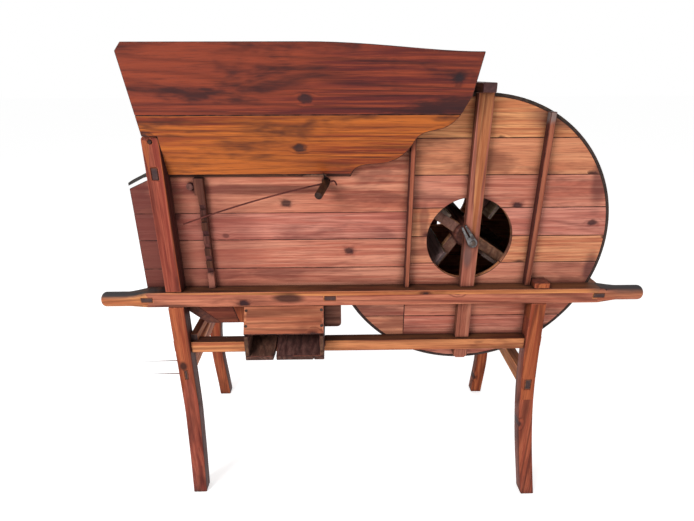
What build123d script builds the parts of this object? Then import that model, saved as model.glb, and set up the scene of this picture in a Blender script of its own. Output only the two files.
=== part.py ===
from build123d import *
import math
import os

# A hand-cranked wooden fanning mill. X runs along the mill with the open mouth at -X,
# Y runs across it with the crank side at -Y, and Z is up from the floor. Millimetres.

# Body
body_width = 530.0
wall = 16.0
fan_x = 274.5
fan_z = 938.6
drum_radius = 400.0
rim_thickness = 8.0
intake_radius = 123.0
mouth_x = -675.5
mouth_corner_z = 1093.0
mouth_slope = 70.0
wall_bottom = 755.0
wall_top = 1123.6
wall_joint_x = 95.0
seams_duct = (854.0, 942.0, 1022.0)
seams_drum = (689.0, 865.0, 947.5, 1032.0, 1125.0, 1224.0)
roof_thickness = 10.0
sheet_thickness = 6.5
sheet_bend = 130.0
sheet_reach = 76.0
floor_thickness = 12.0

# Frame
rail_length = 1600.0
rail_height = 48.0
rail_depth = 45.0
rail_top = 798.0
handle_radius = 22.0
handle_length = 78.0
handle_taper = 62.0
handle_drops = {"left": 5.0, "right": 0.5}
handle_round = 12.0
lower_rail_top = 625.6
lower_rail_height = 37.0
lower_rail_depth = 36.0
lower_tenon = 18.0
tenon_show = 9.0
lap = 18.0
leg_width = 46.0
left_post_x = -582.5
left_post_top = 1238.0
post_crown = 10.0
right_leg_stub = 17.0
leg_bends = {
    "front_left": ((-582.5, 400.0), (-586.0, 300.0), (-594.0, 160.0), (-606.0, 0.0)),
    "back_left": ((-582.5, 720.0), (-588.0, 600.0), (-612.0, 490.0), (-648.0, 370.0), (-657.0, 250.0), (-639.0, 0.0)),
    "front_right": ((490.0, 720.0), (491.5, 623.6), (499.5, 428.6), (511.0, 310.0), (529.0, 170.0), (554.5, 0.0)),
    "back_right": ((490.0, 720.0), (493.0, 610.0), (504.0, 480.0), (529.0, 350.0), (545.0, 170.0), (530.0, 0.0)),
}
leg_splays = {"front_left": 18.0, "back_left": 9.0, "front_right": -14.0, "back_right": 18.0}
splay_start = 420.0
bearing_post_width = 42.0
bearing_post_depth = 26.0
bearing_post_foot = 552.0
foot_chamfer = 8.0
beam_height = 23.5
beam_width = 35.5
beam_show = 12.0
beam_tenon = 12.0
beam_gap = 0.6
left_batten = (88.8, 102.2)
left_batten_depth = 28.0
right_batten = (447.6, 463.6)
right_batten_depth = 22.0

# Cross bars and rungs
crossbar_height = 26.0
crossbar_drop = 37.0
rail_tenon = (33.0, 13.0)
left_crossbar_inset = 12.0
middle_crossbar_gap = 17.0
right_crossbar_gap = 7.0
tenon_shifts = {"left": 0.0, "middle": -3.4, "right": -2.5}
crossbar_width = 40.0
rung_shoulder = 7.0
left_rung_z = 512.5
left_rung_ends = (-583.5, -606.0)
left_rung_tenon = (10.5, 34.5)
right_rung_z = 458.5
right_rung_ends = (497.5, 507.0)
right_rung_tenon = (19.0, 37.0)
strut = (-559.5, -539.0)
strut_height = 21.0
strut_half = 288.0
hopper_bar_width = 26.0
hopper_bar_height = 34.0
hopper_bar_tenon = 17.0

# Hopper
hopper_board = 14.0
hopper_left = -598.5
hopper_right = 233.0
hopper_height = 318.0
hopper_rim_fall = 21.0
hopper_rim_break = -175.5
hopper_lower_board = 157.4
hopper_corner = 18.0
flare_angle = 20.04
lobe_start = -68.5
lobe_low = (165.0, 94.0)
lobe_high = (125.5, 106.0)
slope_board = 12.0
left_slope_rim = -594.0
throat_left = -202.5

# Gate
gate_x = -136.8
gate_z = 1110.6
gate_shaft_radius = 10.5
gate_clearance = 0.06
flap_thickness = 8.0
flap_seat = 3.0
flap_reach = 86.0
flap_heel = 6.0
flap_open_at_rest = 8.0
lever_out = 88.0
lever_bend = 30.0
lever_side = 21.0
lever_down = 17.0
rod_radius = 2.2
rod_tip = (-533.5, 998.0)
rod_sag = 7.0
rod_tail = 14.0
rod_hook = 13.0

# Rack and pegs
rack_x = -477.5
rack_width = 18.0
rack_depth = 18.0
rack_head = 26.0
rack_head_length = 46.0
rack_notches = (1043.0, 1007.0, 968.0, 930.0, 893.0, 856.0)
rack_notch_depth = 6.0
rack_notch_height = 15.0
peg_radius = 9.5
peg_x = -507.5
peg_z = 1099.5
peg_show = 12.0
post_peg_radius = 5.0
post_peg_z = 1224.0

# Grain chute and outlets
chute_left = -384.0
chute_right = -150.0
chute_out = 87.0
chute_side = 13.0
chute_floor = 14.0
chute_bottom = 591.5
chute_lip_z = 679.5
chute_cover = 12.0
chute_cover_out = 43.0
chute_crack_x = -295.0
chute_crack = 9.0
chute_crack_depth = 62.0
chute_seam = 1.2
chute_nick_x = -184.0
chute_nick = 5.0
trough_side = 22.5
trough_round = 16.0
cheek_right = -98.5
cheek_bottom = 653.6
cheek_board = 14.0
cheek_round = 13.0
divider_top_x = -449.0
divider_toe_x = -411.5
outlet_bottom = 671.6
outlet_slope_toe = -468.5
outlet_slope_angle = 41.3
outlet_slope_toe_board = 27.0
outlet_slope_top_board = 35.0
skirt_board = 14.0

# Fan
hub_radius = 36.0
hub_length = 470.0
hub_chamfer = 6.0
journal_radius = 10.0
journal_clearance = 0.06
journal_in_hub = 90.0
journal_back_show = 6.0
square_side = 13.0
square_start = 2.0
crank_thickness = 10.0
square_proud = 2.0
crank_boss = 13.0
crank_reach = 57.0
crank_tip_width = 15.0
crank_slot = 5.0
crank_slot_start = 22.0
crank_angle = 120.5
spoke_width = 30.0
spoke_depth = 24.0
spoke_root = 24.0
spoke_tip_gap = 72.0
spoke_outer_plane = 205.0
spoke_inner_plane = 165.0
spoke_angle = -34.0
paddle_count = 4
paddle_inner = 76.0
paddle_tip_gap = 28.0
paddle_thickness = 10.0
paddle_side_gap = 12.0
nail_radius = 1.6
nail_head_radius = 4.0
nail_head = 1.5

# Places worked out from the values above
half = body_width / 2
inner = half - wall
wall_radius = drum_radius - rim_thickness
rail_bottom = rail_top - rail_height
lower_rail_bottom = lower_rail_top - lower_rail_height
roof_top = wall_top + roof_thickness
crossbar_top = rail_top - crossbar_drop + crossbar_height
floor_top = crossbar_top + floor_thickness
rim_reach = math.sqrt(drum_radius ** 2 - (fan_z - crossbar_top + crossbar_height / 2) ** 2)
crossbars = {
    "left": mouth_x + left_crossbar_inset,
    "middle": fan_x - rim_reach - middle_crossbar_gap - crossbar_width / 2,
    "right": fan_x + rim_reach + right_crossbar_gap + crossbar_width / 2,
}
beam_bottom = fan_z + drum_radius + beam_gap
hopper_bottom = roof_top - 1.0
spoke_reach = wall_radius - spoke_tip_gap
hopper_rim_left = hopper_bottom + hopper_height
hopper_rim_right = hopper_rim_left - hopper_rim_fall
hopper_seam = hopper_bottom + hopper_lower_board
flare = math.radians(flare_angle)
hopper_wall = hopper_board / math.cos(flare)
bearing_post_x = (fan_x - bearing_post_width / 2, fan_x + bearing_post_width / 2)

Y_PLANES = {"front": -1, "back": 1}


def block(x, y, z):
    """A board or bar between two corners, each given as (low, high)."""
    centre = Pos((x[0] + x[1]) / 2, (y[0] + y[1]) / 2, (z[0] + z[1]) / 2)
    return centre * Box(abs(x[1] - x[0]), abs(y[1] - y[0]), abs(z[1] - z[0]))


def closed(points):
    """A flat face with straight sides."""
    return make_face(Polyline(*points, close=True))


def side_plate(face, y):
    """A face drawn in X and Z, as thick as the span (low, high) in Y."""
    placed = Plane(origin=(0, y[1], 0), x_dir=(1, 0, 0), z_dir=(0, -1, 0)) * face
    return extrude(placed, amount=y[1] - y[0], dir=(0, -1, 0))


def end_plate(face, x):
    """A face drawn in Y and Z, as thick as the span (low, high) in X."""
    placed = Plane(origin=(x[0], 0, 0), x_dir=(0, 1, 0), z_dir=(1, 0, 0)) * face
    return extrude(placed, amount=x[1] - x[0], dir=(1, 0, 0))


def across(x, z, radius, y):
    """A round bar or hole along Y."""
    middle = Pos(x, (y[0] + y[1]) / 2, z)
    return middle * Rot(90, 0, 0) * Cylinder(radius, y[1] - y[0])


def other_side(shape):
    """The same piece on the other side of the mill."""
    return mirror(shape, about=Plane.XZ)


def solids_of(*shapes):
    """Every separate solid in the shapes given."""
    found = []
    for shape in shapes:
        found.extend(shape.solids())
    return found


def save(name, *shapes):
    """One sub-part's file, with each of its pieces as a solid of its own."""
    pieces = solids_of(*shapes)
    export_step(pieces[0] if len(pieces) == 1 else Compound(children=pieces), f"parts/{name}.step")


# Side walls of planks

def wall_face():
    """The duct's side with the round drum side, as one outline in X and Z."""
    duct = closed([
        (mouth_x, wall_bottom),
        (fan_x, wall_bottom),
        (fan_x, wall_top),
        (mouth_x + mouth_slope, wall_top),
        (mouth_x, mouth_corner_z),
    ])
    return duct + Pos(fan_x, fan_z) * Circle(wall_radius) - Pos(fan_x, fan_z) * Circle(intake_radius)


def planks(face, x, seams):
    """The part of a wall between two X values, cut into level planks at the seams."""
    levels = (fan_z - drum_radius,) + tuple(seams) + (fan_z + drum_radius,)
    boards = []
    for low, high in zip(levels, levels[1:]):
        window = closed([(x[0], low), (x[1], low), (x[1], high), (x[0], high)])
        boards.extend(solids_of(side_plate(face & window, (-half, -inner))))
    return boards


# Bent and straight timbers of the frame

def bent_leg(name, straight_top, crown):
    """A leg sawn from a bent timber, straight above its first centre point, with its foot splayed in Y."""
    centres = leg_bends[name]
    splay = leg_splays[name]
    foot_run = (centres[-1][0] - centres[-2][0], centres[-1][1] - centres[-2][1])
    left, right = [
        Spline(*[(x + side, z) for x, z in centres], tangents=[(0, -1), foot_run])
        for side in (-leg_width / 2, leg_width / 2)
    ]
    outline = make_face([
        left,
        Line(left @ 1, right @ 1),
        right,
        Line(right @ 0, ((right @ 0).X, straight_top)),
        Line(((right @ 0).X, straight_top), ((left @ 0).X, straight_top)),
        Line(((left @ 0).X, straight_top), left @ 0),
    ])
    outer, back = -half - rail_depth, -half
    profile = make_face([
        Line((outer, straight_top), (back, straight_top)),
        Line((back, straight_top), (back, splay_start)),
        Spline((back, splay_start), (back + splay, 0), tangents=[(0, -1), (splay, -splay_start * 0.6)]),
        Line((back + splay, 0), (outer + splay, 0)),
        Spline((outer + splay, 0), (outer, splay_start), tangents=[(-splay, splay_start * 0.6), (0, 1)]),
        Line((outer, splay_start), (outer, straight_top)),
    ])
    xs = [x for x, _ in centres]
    leg = side_plate(outline, (outer - abs(splay) - 1, back + abs(splay) + 1))
    leg = leg & end_plate(profile, (min(xs) - leg_width, max(xs) + leg_width))
    if crown:
        leg = fillet(leg.edges().filter_by(Axis.Y).group_by(Axis.Z)[-1], crown)
    return leg


def carrying_rail():
    """The long upper rail with a round handle worked on each end."""
    middle_y = -half - rail_depth / 2
    middle_z = rail_top - rail_height / 2
    square_half = rail_length / 2 - handle_length - handle_taper
    rail = block((-square_half, square_half), (-half - rail_depth, -half), (rail_bottom, rail_top))
    for name, end in (("left", -1), ("right", 1)):
        start = Plane(origin=(end * square_half, middle_y, middle_z), x_dir=(0, 1, 0), z_dir=(end, 0, 0))
        grip = Plane(origin=(end * (square_half + handle_taper), middle_y, middle_z - handle_drops[name]),
                     x_dir=(0, 1, 0), z_dir=(end, 0, 0))
        taper = loft([start * Rectangle(rail_depth, rail_height), grip * Circle(handle_radius)])
        handle = extrude(grip * Circle(handle_radius), amount=handle_length)
        tip = handle.edges().sort_by(Axis.X)[-1 if end > 0 else 0]
        rail += taper + fillet(tip, handle_round)
    return rail


def rung(x_ends, z, tenon):
    """A rung between a front and a back leg, with a through tenon in each leg."""
    leg_front = half + rail_depth
    run = 2 * leg_front
    skew = math.degrees(math.atan2(x_ends[0] - x_ends[1], run))
    width, height = tenon
    bar = Box(width + 2 * rung_shoulder, 2 * half, height + 2 * rung_shoulder) + Box(width, run * 1.02, height)
    bar = Pos((x_ends[0] + x_ends[1]) / 2, 0, z) * Rot(0, 0, skew) * bar
    return bar & block((-rail_length, rail_length), (-leg_front, leg_front), (0, wall_top))


def crossbar(x, tenon_x):
    """A bar under the duct floor, with through tenons in the walls and carrying rails."""
    z = crossbar_top - crossbar_height / 2
    span = half + rail_depth
    width, height = rail_tenon
    body = block((x - crossbar_width / 2, x + crossbar_width / 2), (-inner, inner),
                 (z - crossbar_height / 2, z + crossbar_height / 2))
    return body + block((tenon_x - width / 2, tenon_x + width / 2), (-span, span), (z - height / 2, z + height / 2))


def frame_side(side):
    """One side's rails, legs, bearing post and battens, jointed to each other."""
    leg_y = (-half - rail_depth, -half)
    lap_y = (-half - lap, -half)
    rail = carrying_rail()
    left = bent_leg(f"{side}_left", left_post_top, post_crown)
    right = bent_leg(f"{side}_right", rail_top + right_leg_stub, 0)
    post = block(bearing_post_x, (-half - bearing_post_depth, -half), (bearing_post_foot, beam_bottom))
    post = chamfer(post.edges().group_by(Axis.Z)[0].filter_by(Axis.Y), foot_chamfer)
    tenon_x = (fan_x - bearing_post_width / 4, fan_x + bearing_post_width / 4)
    post += block(tenon_x, (-half - lap, -half - lap / 3), (beam_bottom, beam_bottom + beam_tenon))
    lower_y = (-half - lower_rail_depth, -half)
    lower_z = (lower_rail_bottom, lower_rail_top)
    leg_xs = []
    for leg in (left, right):
        band = leg & block((-rail_length, rail_length), leg_y, lower_z)
        leg_xs.append(band.bounding_box())
    lower = block((leg_xs[0].max.X, leg_xs[1].min.X), lower_y, lower_z)
    tenon_y = (-half - lower_rail_depth / 2 - lower_tenon / 2, -half - lower_rail_depth / 2 + lower_tenon / 2)
    lower += block((leg_xs[0].min.X - tenon_show, leg_xs[1].max.X + tenon_show), tenon_y, lower_z)

    # Half laps: the rail keeps its outer part, and the leg or post keeps its inner part
    lap_zone = block((-rail_length, rail_length), lap_y, (rail_bottom, rail_top))
    rail = rail - (left & lap_zone) - (right & lap_zone) - (post & lap_zone)
    low_zone = block((-rail_length, rail_length), lap_y, lower_z)
    lower = lower - (post & low_zone)
    left = left - rail - lower
    right = right - rail - lower
    post = post - rail - lower
    post -= across(fan_x, fan_z, journal_radius + journal_clearance, (-half - rail_depth, -half))
    return {"rail": rail, "lower": lower, "left": left, "right": right, "post": post}


def batten(x, depth):
    """An upright batten nailed on a drum wall, from the rail to the drum's edge."""
    reach = max(abs(x[0] - fan_x), abs(x[1] - fan_x))
    top = fan_z + math.sqrt(drum_radius ** 2 - reach ** 2)
    return block(x, (-half - depth, -half), (rail_top, top))


# Hopper boards

def flare_y(z, thickness=0.0):
    """How far out a hopper side's inner face lies at a height, plus a thickness."""
    return half + (z - hopper_bottom) * math.tan(flare) + thickness


def ogee_outline(low, high):
    """The front hopper board's outline between two heights, with its two curved lobes."""
    left_low = left_post_x + leg_width / 2
    cusp = (lobe_start + lobe_low[0], hopper_bottom + lobe_low[1])
    shoulder = (cusp[0] + lobe_high[0], cusp[1] + lobe_high[1])
    lobe_shapes = (
        ((0.0, 0.0), (0.103, 0.201), (0.394, 0.298), (0.733, 0.447), (0.918, 0.745), (1.0, 1.0)),
        ((0.0, 0.0), (0.167, 0.160), (0.494, 0.255), (0.808, 0.528), (0.912, 0.783), (1.0, 1.0)),
    )
    low_lobe, high_lobe = [
        Spline(*[(start[0] + size[0] * u, start[1] + size[1] * v) for u, v in shape])
        for start, size, shape in zip(((lobe_start, hopper_bottom), cusp), (lobe_low, lobe_high), lobe_shapes)
    ]
    lobes = [
        Line((left_low, hopper_bottom), (lobe_start, hopper_bottom)),
        low_lobe,
        high_lobe,
        Line(shoulder, (hopper_right, hopper_rim_right)),
        Spline((hopper_right, hopper_rim_right), (60.0, hopper_rim_right + 9.0), (hopper_rim_break, hopper_rim_left),
               tangents=[(-1, 0), (-1, 0)]),
        Line((hopper_rim_break, hopper_rim_left), (hopper_left + hopper_corner, hopper_rim_left)),
        Line((hopper_left + hopper_corner, hopper_rim_left), (hopper_left, hopper_rim_left - hopper_corner)),
        Line((hopper_left, hopper_rim_left - hopper_corner), (hopper_left, left_post_top)),
        Line((hopper_left, left_post_top), (left_low, left_post_top)),
        Line((left_low, left_post_top), (left_low, hopper_bottom)),
    ]
    whole = make_face(lobes)
    window = closed([(hopper_left, low), (hopper_right, low), (hopper_right, high), (hopper_left, high)])
    return whole & window


def flared_board(low, high):
    """A plank of the front hopper side, leaning outwards."""
    top = hopper_rim_left + 1.0
    slab = end_plate(closed([
        (-flare_y(hopper_bottom), hopper_bottom),
        (-flare_y(hopper_bottom, hopper_wall), hopper_bottom),
        (-flare_y(top, hopper_wall), top),
        (-flare_y(top), top),
    ]), (hopper_left, hopper_right))
    return side_plate(ogee_outline(low, high), (-rail_length, 0)) & slab


def between_flares():
    """The space between the two hopper sides."""
    top = hopper_rim_left + 1.0
    return end_plate(closed([
        (-flare_y(roof_top), roof_top),
        (flare_y(roof_top), roof_top),
        (flare_y(top), top),
        (-flare_y(top), top),
    ]), (-rail_length, rail_length))


def left_slope():
    """The long sloping board that feeds the throat from the mouth end."""
    rise = hopper_rim_left - 12.0 - roof_top
    run = throat_left - left_slope_rim
    drop = slope_board * math.hypot(rise, run) / run
    foot = slope_board * math.hypot(rise, run) / rise
    outline = closed([
        (throat_left, roof_top),
        (throat_left - foot, roof_top),
        (left_slope_rim, roof_top + rise - drop),
        (left_slope_rim, roof_top + rise),
    ])
    return side_plate(outline, (-rail_length, rail_length)) & between_flares()


def right_slope():
    """The sloping board on the drum side, lying against the drum's rim."""
    seat = drum_radius + beam_gap
    top = (hopper_right - 18.0, hopper_rim_right - 6.0)
    dx, dz = top[0] - fan_x, top[1] - fan_z
    far = seat + slope_board
    lean = math.atan2(-dx, dz) + math.acos(far / math.hypot(dx, dz))
    along = (math.cos(lean), math.sin(lean))
    down = (math.sin(lean), -math.cos(lean))
    upper_foot = (top[0] - (top[1] - roof_top) * along[0] / along[1], roof_top)
    lower_foot = (upper_foot[0] + slope_board / along[1], roof_top)
    outline = closed([
        top,
        upper_foot,
        lower_foot,
        (top[0] + slope_board * down[0], top[1] + slope_board * down[1]),
    ])
    return side_plate(outline, (-rail_length, rail_length)) & between_flares(), upper_foot[0]


# Drum rim, roof and floor

def drum_rim():
    """Three bent boards round the drum, open on the duct side."""
    ring = Circle(drum_radius) - Circle(wall_radius)
    opening = closed([
        (mouth_x, crossbar_top - fan_z),
        (0, crossbar_top - fan_z),
        (0, 0),
        (-wall_radius * 0.8, roof_top - fan_z),
        (mouth_x, roof_top - fan_z),
    ])
    pieces = []
    cuts = (50.0, -62.0, -190.0, -310.0)
    for start, end in zip(cuts, cuts[1:]):
        far = 2 * drum_radius
        middle = (start + end) / 2
        corners = [(far * math.cos(math.radians(a)), far * math.sin(math.radians(a))) for a in (start, middle, end)]
        sector = closed([(0, 0)] + corners)
        face = Pos(fan_x, fan_z) * ((ring & sector) - opening)
        board = side_plate(face, (-half, half)) - side_plate(wall_face(), (-half, -inner))
        board -= side_plate(wall_face(), (inner, half))
        pieces.extend(board.solids())
    return pieces


def tail_sheet():
    """The thin bent roof board over the mouth."""
    bar_side = left_post_x - hopper_bar_width / 2
    lap_x = 5.0
    ring = Circle(sheet_bend) - Circle(sheet_bend - sheet_thickness)
    window = closed([(-sheet_reach, 0), (0, 0), (0, sheet_bend + 1), (-sheet_reach, sheet_bend + 1)])
    flat = closed([(0, sheet_bend - sheet_thickness), (lap_x, sheet_bend - sheet_thickness), (lap_x, sheet_bend),
                   (0, sheet_bend)])
    return side_plate(Pos(bar_side - lap_x, roof_top - sheet_bend) * ((ring & window) + flat), (-half, half))


# Grain chute and second outlet

def chute_floor_z(y):
    """Height of the chute floor's upper face, from the lip up to the duct floor at the back wall."""
    lip = -half - chute_out
    rise = floor_top - chute_bottom
    run = inner - lip
    pitch = math.atan2(rise, run)
    for _ in range(8):
        pitch = math.atan2(rise - chute_floor / math.cos(pitch), run)
    return chute_bottom + chute_floor / math.cos(pitch) + (y - lip) * math.tan(pitch), pitch


def chute_parts():
    """The chute's floor, sides and cover, and the space that it takes out of the lower rail."""
    lip = -half - chute_out
    floor_lip, pitch = chute_floor_z(lip)
    drop = chute_floor / math.cos(pitch)
    slab = end_plate(closed([
        (lip, floor_lip - drop), (inner, floor_top - drop), (inner, floor_top), (lip, floor_lip),
    ]), (chute_left, chute_right))
    seam_x = (chute_crack_x - chute_seam / 2, chute_crack_x + chute_seam / 2)
    crack = closed([
        (chute_crack_x - chute_crack * 0.75, lip - 1), (chute_crack_x - chute_crack * 0.3, lip + chute_crack_depth / 3),
        (seam_x[0], lip + chute_crack_depth), (seam_x[0], inner + 1), (seam_x[1], inner + 1),
        (seam_x[1], lip + chute_crack_depth), (chute_crack_x + chute_crack * 0.25, lip - 1),
    ])
    floor = slab - Pos(0, 0, chute_bottom - 1) * extrude(crack, amount=floor_top - chute_bottom + 2, dir=(0, 0, 1))
    floor -= side_plate(closed([
        (chute_nick_x, chute_bottom - 1), (chute_nick_x + chute_nick / 2, chute_bottom + chute_nick),
        (chute_nick_x + chute_nick, chute_bottom - 1),
    ]), (lip - 1, lip + 2 * chute_nick))

    cover_top = (-half - chute_cover_out, rail_bottom)
    cover_toe = (lip, chute_lip_z)
    length = math.hypot(cover_top[0] - cover_toe[0], cover_top[1] - cover_toe[1])
    inward = ((cover_top[1] - cover_toe[1]) / length, -(cover_top[0] - cover_toe[0]) / length)
    toe_in = (cover_toe[0] + chute_cover * inward[0], cover_toe[1] + chute_cover * inward[1])
    slant = (cover_top[0] - cover_toe[0]) / (cover_top[1] - cover_toe[1])
    top_in = (toe_in[0] + (rail_bottom - toe_in[1]) * slant, rail_bottom)
    cover = end_plate(closed([cover_toe, toe_in, top_in, cover_top]), (chute_left, chute_right))

    side_face = closed([
        (lip, floor_lip), (lip, toe_in[1]), toe_in, top_in, (-half, rail_bottom), (-half, wall_bottom),
        (-inner, wall_bottom), (-inner, floor_top), (inner, floor_top),
    ])
    left = end_plate(side_face, (chute_left, chute_left + chute_side))
    right = end_plate(side_face, (chute_right - chute_side, chute_right))
    space = end_plate(closed([
        (lip, floor_lip - drop), (inner, floor_top - drop), (inner, floor_top), (lip, floor_top),
    ]), (chute_left, chute_right))
    return floor, left, right, cover, space


def trough_side_board():
    """The thick board that closes the grain trough towards the drum."""
    start, _ = chute_floor_z(-half + cheek_board)
    top = crossbar_top - crossbar_height
    lip = -half - chute_out
    lip_z, pitch = chute_floor_z(lip)
    meet = lip + (top - lip_z) / math.tan(pitch)
    board = end_plate(closed([
        (-half + cheek_board, start), (-half + cheek_board, wall_bottom), (-inner, wall_bottom),
        (-inner, top), (meet, top),
    ]), (chute_right, chute_right + trough_side))
    low_edge = board.edges().sort_by(lambda e: e.center().Z - e.center().X)[0]
    return fillet(low_edge, trough_round)


def cheek():
    """The tab of wall board that hangs beside the chute, with a rounded corner."""
    face = closed([
        (chute_right, cheek_bottom), (cheek_right, cheek_bottom), (cheek_right, wall_bottom),
        (chute_right, wall_bottom),
    ])
    tab = side_plate(face, (-half, -half + cheek_board))
    corner = tab.edges().filter_by(Axis.Y).sort_by(lambda e: e.center().Z - e.center().X)[0]
    return fillet(corner, cheek_round)


def outlet_divider():
    """The ridge between the grain trough and the light outlet."""
    face = closed([
        (divider_top_x, floor_top), (divider_toe_x, outlet_bottom), (chute_left, outlet_bottom),
        (chute_left, floor_top),
    ])
    return side_plate(face, (-half, half))


def outlet_slope():
    """The sloping board of the light outlet, under the mouth end of the duct floor."""
    angle = math.radians(outlet_slope_angle)
    rise = crossbar_top - outlet_bottom
    top_x = outlet_slope_toe - rise / math.tan(angle)
    face = closed([
        (outlet_slope_toe, outlet_bottom),
        (top_x, crossbar_top),
        (top_x - outlet_slope_top_board / math.sin(angle), crossbar_top),
        (outlet_slope_toe - outlet_slope_toe_board / math.sin(angle), outlet_bottom),
    ])
    return side_plate(face, (-half, half))


def outlet_skirt():
    """The upright board that closes one end of the light outlet."""
    angle = math.radians(outlet_slope_angle)
    slope_x = outlet_slope_toe - (wall_bottom - outlet_bottom) / math.tan(angle)
    lean = (divider_top_x - divider_toe_x) / (floor_top - outlet_bottom)
    face = closed([
        (outlet_slope_toe, outlet_bottom),
        (slope_x, wall_bottom),
        (divider_toe_x + (wall_bottom - outlet_bottom) * lean, wall_bottom),
        (divider_toe_x, outlet_bottom),
    ])
    return side_plate(face, (-half, -half + skirt_board))


# Gate that meters the grain

def gate_parts():
    """The crooked shaft with its lever end, the flap in the throat and the thin setting rod."""
    flap_y = inner - 3.0
    shaft = across(0, 0, gate_shaft_radius, (-half, half + 8.0))
    start = (0, -half, 0)
    straight = (0, -half - lever_bend, 0)
    tip = (-lever_side, -half - lever_out, -lever_down)
    path = FilletPolyline(start, straight, tip, radius=40.0)
    lever = sweep(Plane(origin=start, z_dir=(0, -1, 0)) * Circle(gate_shaft_radius), path=path)
    shaft = shaft + lever
    flat = block((-gate_shaft_radius, gate_shaft_radius), (-flap_y, flap_y), (flap_seat, gate_shaft_radius))
    flap = block((-flap_reach, flap_heel), (-flap_y, flap_y), (flap_seat, flap_seat + flap_thickness))
    turn = Rot(0, -flap_open_at_rest, 0)
    place = Pos(gate_x, 0, gate_z)
    shaft = place * turn * (shaft - flat)
    flap = place * turn * flap

    rod_y = -half - rack_depth - rod_radius - 3.0
    through = (gate_x, gate_z)
    chord = (rod_tip[0] - through[0], rod_tip[1] - through[1])
    length = math.hypot(*chord)
    lean = (chord[0] / length, chord[1] / length)
    middle = ((through[0] + rod_tip[0]) / 2 + lean[1] * rod_sag, (through[1] + rod_tip[1]) / 2 - lean[0] * rod_sag)
    tail = (through[0] - lean[0] * (gate_shaft_radius + rod_tail),
            through[1] - lean[1] * (gate_shaft_radius + rod_tail))
    hook = (tail[0] + rod_hook * 0.45, tail[1] - rod_hook)
    arch = ThreePointArc((rod_tip[0], rod_y, rod_tip[1]), (middle[0], rod_y, middle[1]),
                         (through[0], rod_y, through[1]))
    bend = FilletPolyline((through[0], rod_y, through[1]), (tail[0], rod_y, tail[1]),
                          (hook[0], rod_y, hook[1]), radius=6.0)
    rod = sweep(Plane(origin=arch @ 0, z_dir=arch % 0) * Circle(rod_radius), path=arch)
    rod += sweep(Plane(origin=bend @ 0, z_dir=bend % 0) * Circle(rod_radius), path=bend)
    return shaft - rod, flap, rod


def notched_rack():
    """The upright strip whose notches hold the setting rod."""
    y = (-half - rack_depth, -half)
    x = (rack_x - rack_width / 2, rack_x + rack_width / 2)
    head_x = (x[1] - rack_head, x[1])
    rack = block(x, y, (rail_top, wall_top)) + block(head_x, y, (wall_top - rack_head_length, wall_top))
    for z in rack_notches:
        notch = closed([
            (-half - rack_depth - 1.0, z + rack_notch_height / 2),
            (-half - rack_depth + rack_notch_depth * 0.3, z + rack_notch_height / 2),
            (-half - rack_depth + rack_notch_depth, z - rack_notch_height / 2),
            (-half - rack_depth - 1.0, z - rack_notch_height / 2),
        ])
        rack -= end_plate(notch, (x[0] - 1.0, x[1] + 1.0))
    return rack


# Fan

def fan_place():
    """Where the fan's own axes stand in the mill."""
    return Pos(fan_x, 0, fan_z)


def spoke_places():
    """Each spoke's turn about the hub and its place along it. Neighbours are staggered."""
    places = []
    for index in range(paddle_count):
        plane = spoke_outer_plane if index % 2 == 0 else spoke_inner_plane
        for y in (-plane, plane):
            places.append((Rot(0, -spoke_angle - index * 360.0 / paddle_count, 0), y))
    return places


def fan_spokes():
    """Two spokes for each paddle, let into the hub."""
    bar = block((spoke_root, spoke_reach), (-spoke_depth / 2, spoke_depth / 2), (-spoke_width / 2, spoke_width / 2))
    return [turn * Pos(0, y, 0) * bar for turn, y in spoke_places()]


def fan_paddles():
    """One paddle board on the trailing side of each pair of spokes."""
    width = inner - paddle_side_gap
    boards = []
    for index in range(paddle_count):
        angle = spoke_angle + index * 360.0 / paddle_count
        board = block((paddle_inner, wall_radius - paddle_tip_gap), (-width, width),
                      (-spoke_width / 2 - paddle_thickness, -spoke_width / 2))
        boards.append(Rot(0, -angle, 0) * board)
    return boards


def paddle_nails():
    """Two nails through each paddle into each spoke."""
    nails = []
    face = -spoke_width / 2 - paddle_thickness
    shank = Cylinder(nail_radius, paddle_thickness + 12.0, align=(Align.CENTER, Align.CENTER, Align.MIN))
    head = Cylinder(nail_head_radius, nail_head, align=(Align.CENTER, Align.CENTER, Align.MAX))
    for turn, y in spoke_places():
        for reach in (paddle_inner + 60.0, spoke_reach - 50.0):
            nails.append(turn * Pos(reach, y, face) * (shank + head))
    return nails


def gudgeon(side):
    """The iron pin that carries one end of the hub in its bearing post."""
    start = hub_length / 2 - journal_in_hub
    post_face = half + bearing_post_depth
    end = post_face + (square_start if side == "front" else journal_back_show)
    pin = across(0, 0, journal_radius, (start, end))
    if side == "back":
        return pin
    square_end = end + crank_thickness + square_proud
    pin = across(0, 0, journal_radius, (-end, -start))
    corner = square_side / 2
    return pin + Rot(0, -crank_angle, 0) * block((-corner, corner), (-square_end, -end), (-corner, corner))


def crank_arm():
    """The forged crank: a round eye on the square end, and a forked arm."""
    y = -half - bearing_post_depth - square_start
    tip = crank_tip_width / 2
    arm = closed([(0, -crank_boss), (crank_reach, -tip), (crank_reach, tip), (0, crank_boss)])
    slot = Pos((crank_slot_start + crank_reach) / 2 + 4.0, 0) * Rectangle(
        crank_reach - crank_slot_start + 8.0, crank_slot)
    slot_end = Pos(crank_slot_start, 0) * Circle(crank_slot / 2)
    eye = Circle(crank_boss) + arm - slot - slot_end - Rectangle(square_side, square_side)
    return Rot(0, -crank_angle, 0) * side_plate(eye, (y - crank_thickness, y))


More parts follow.
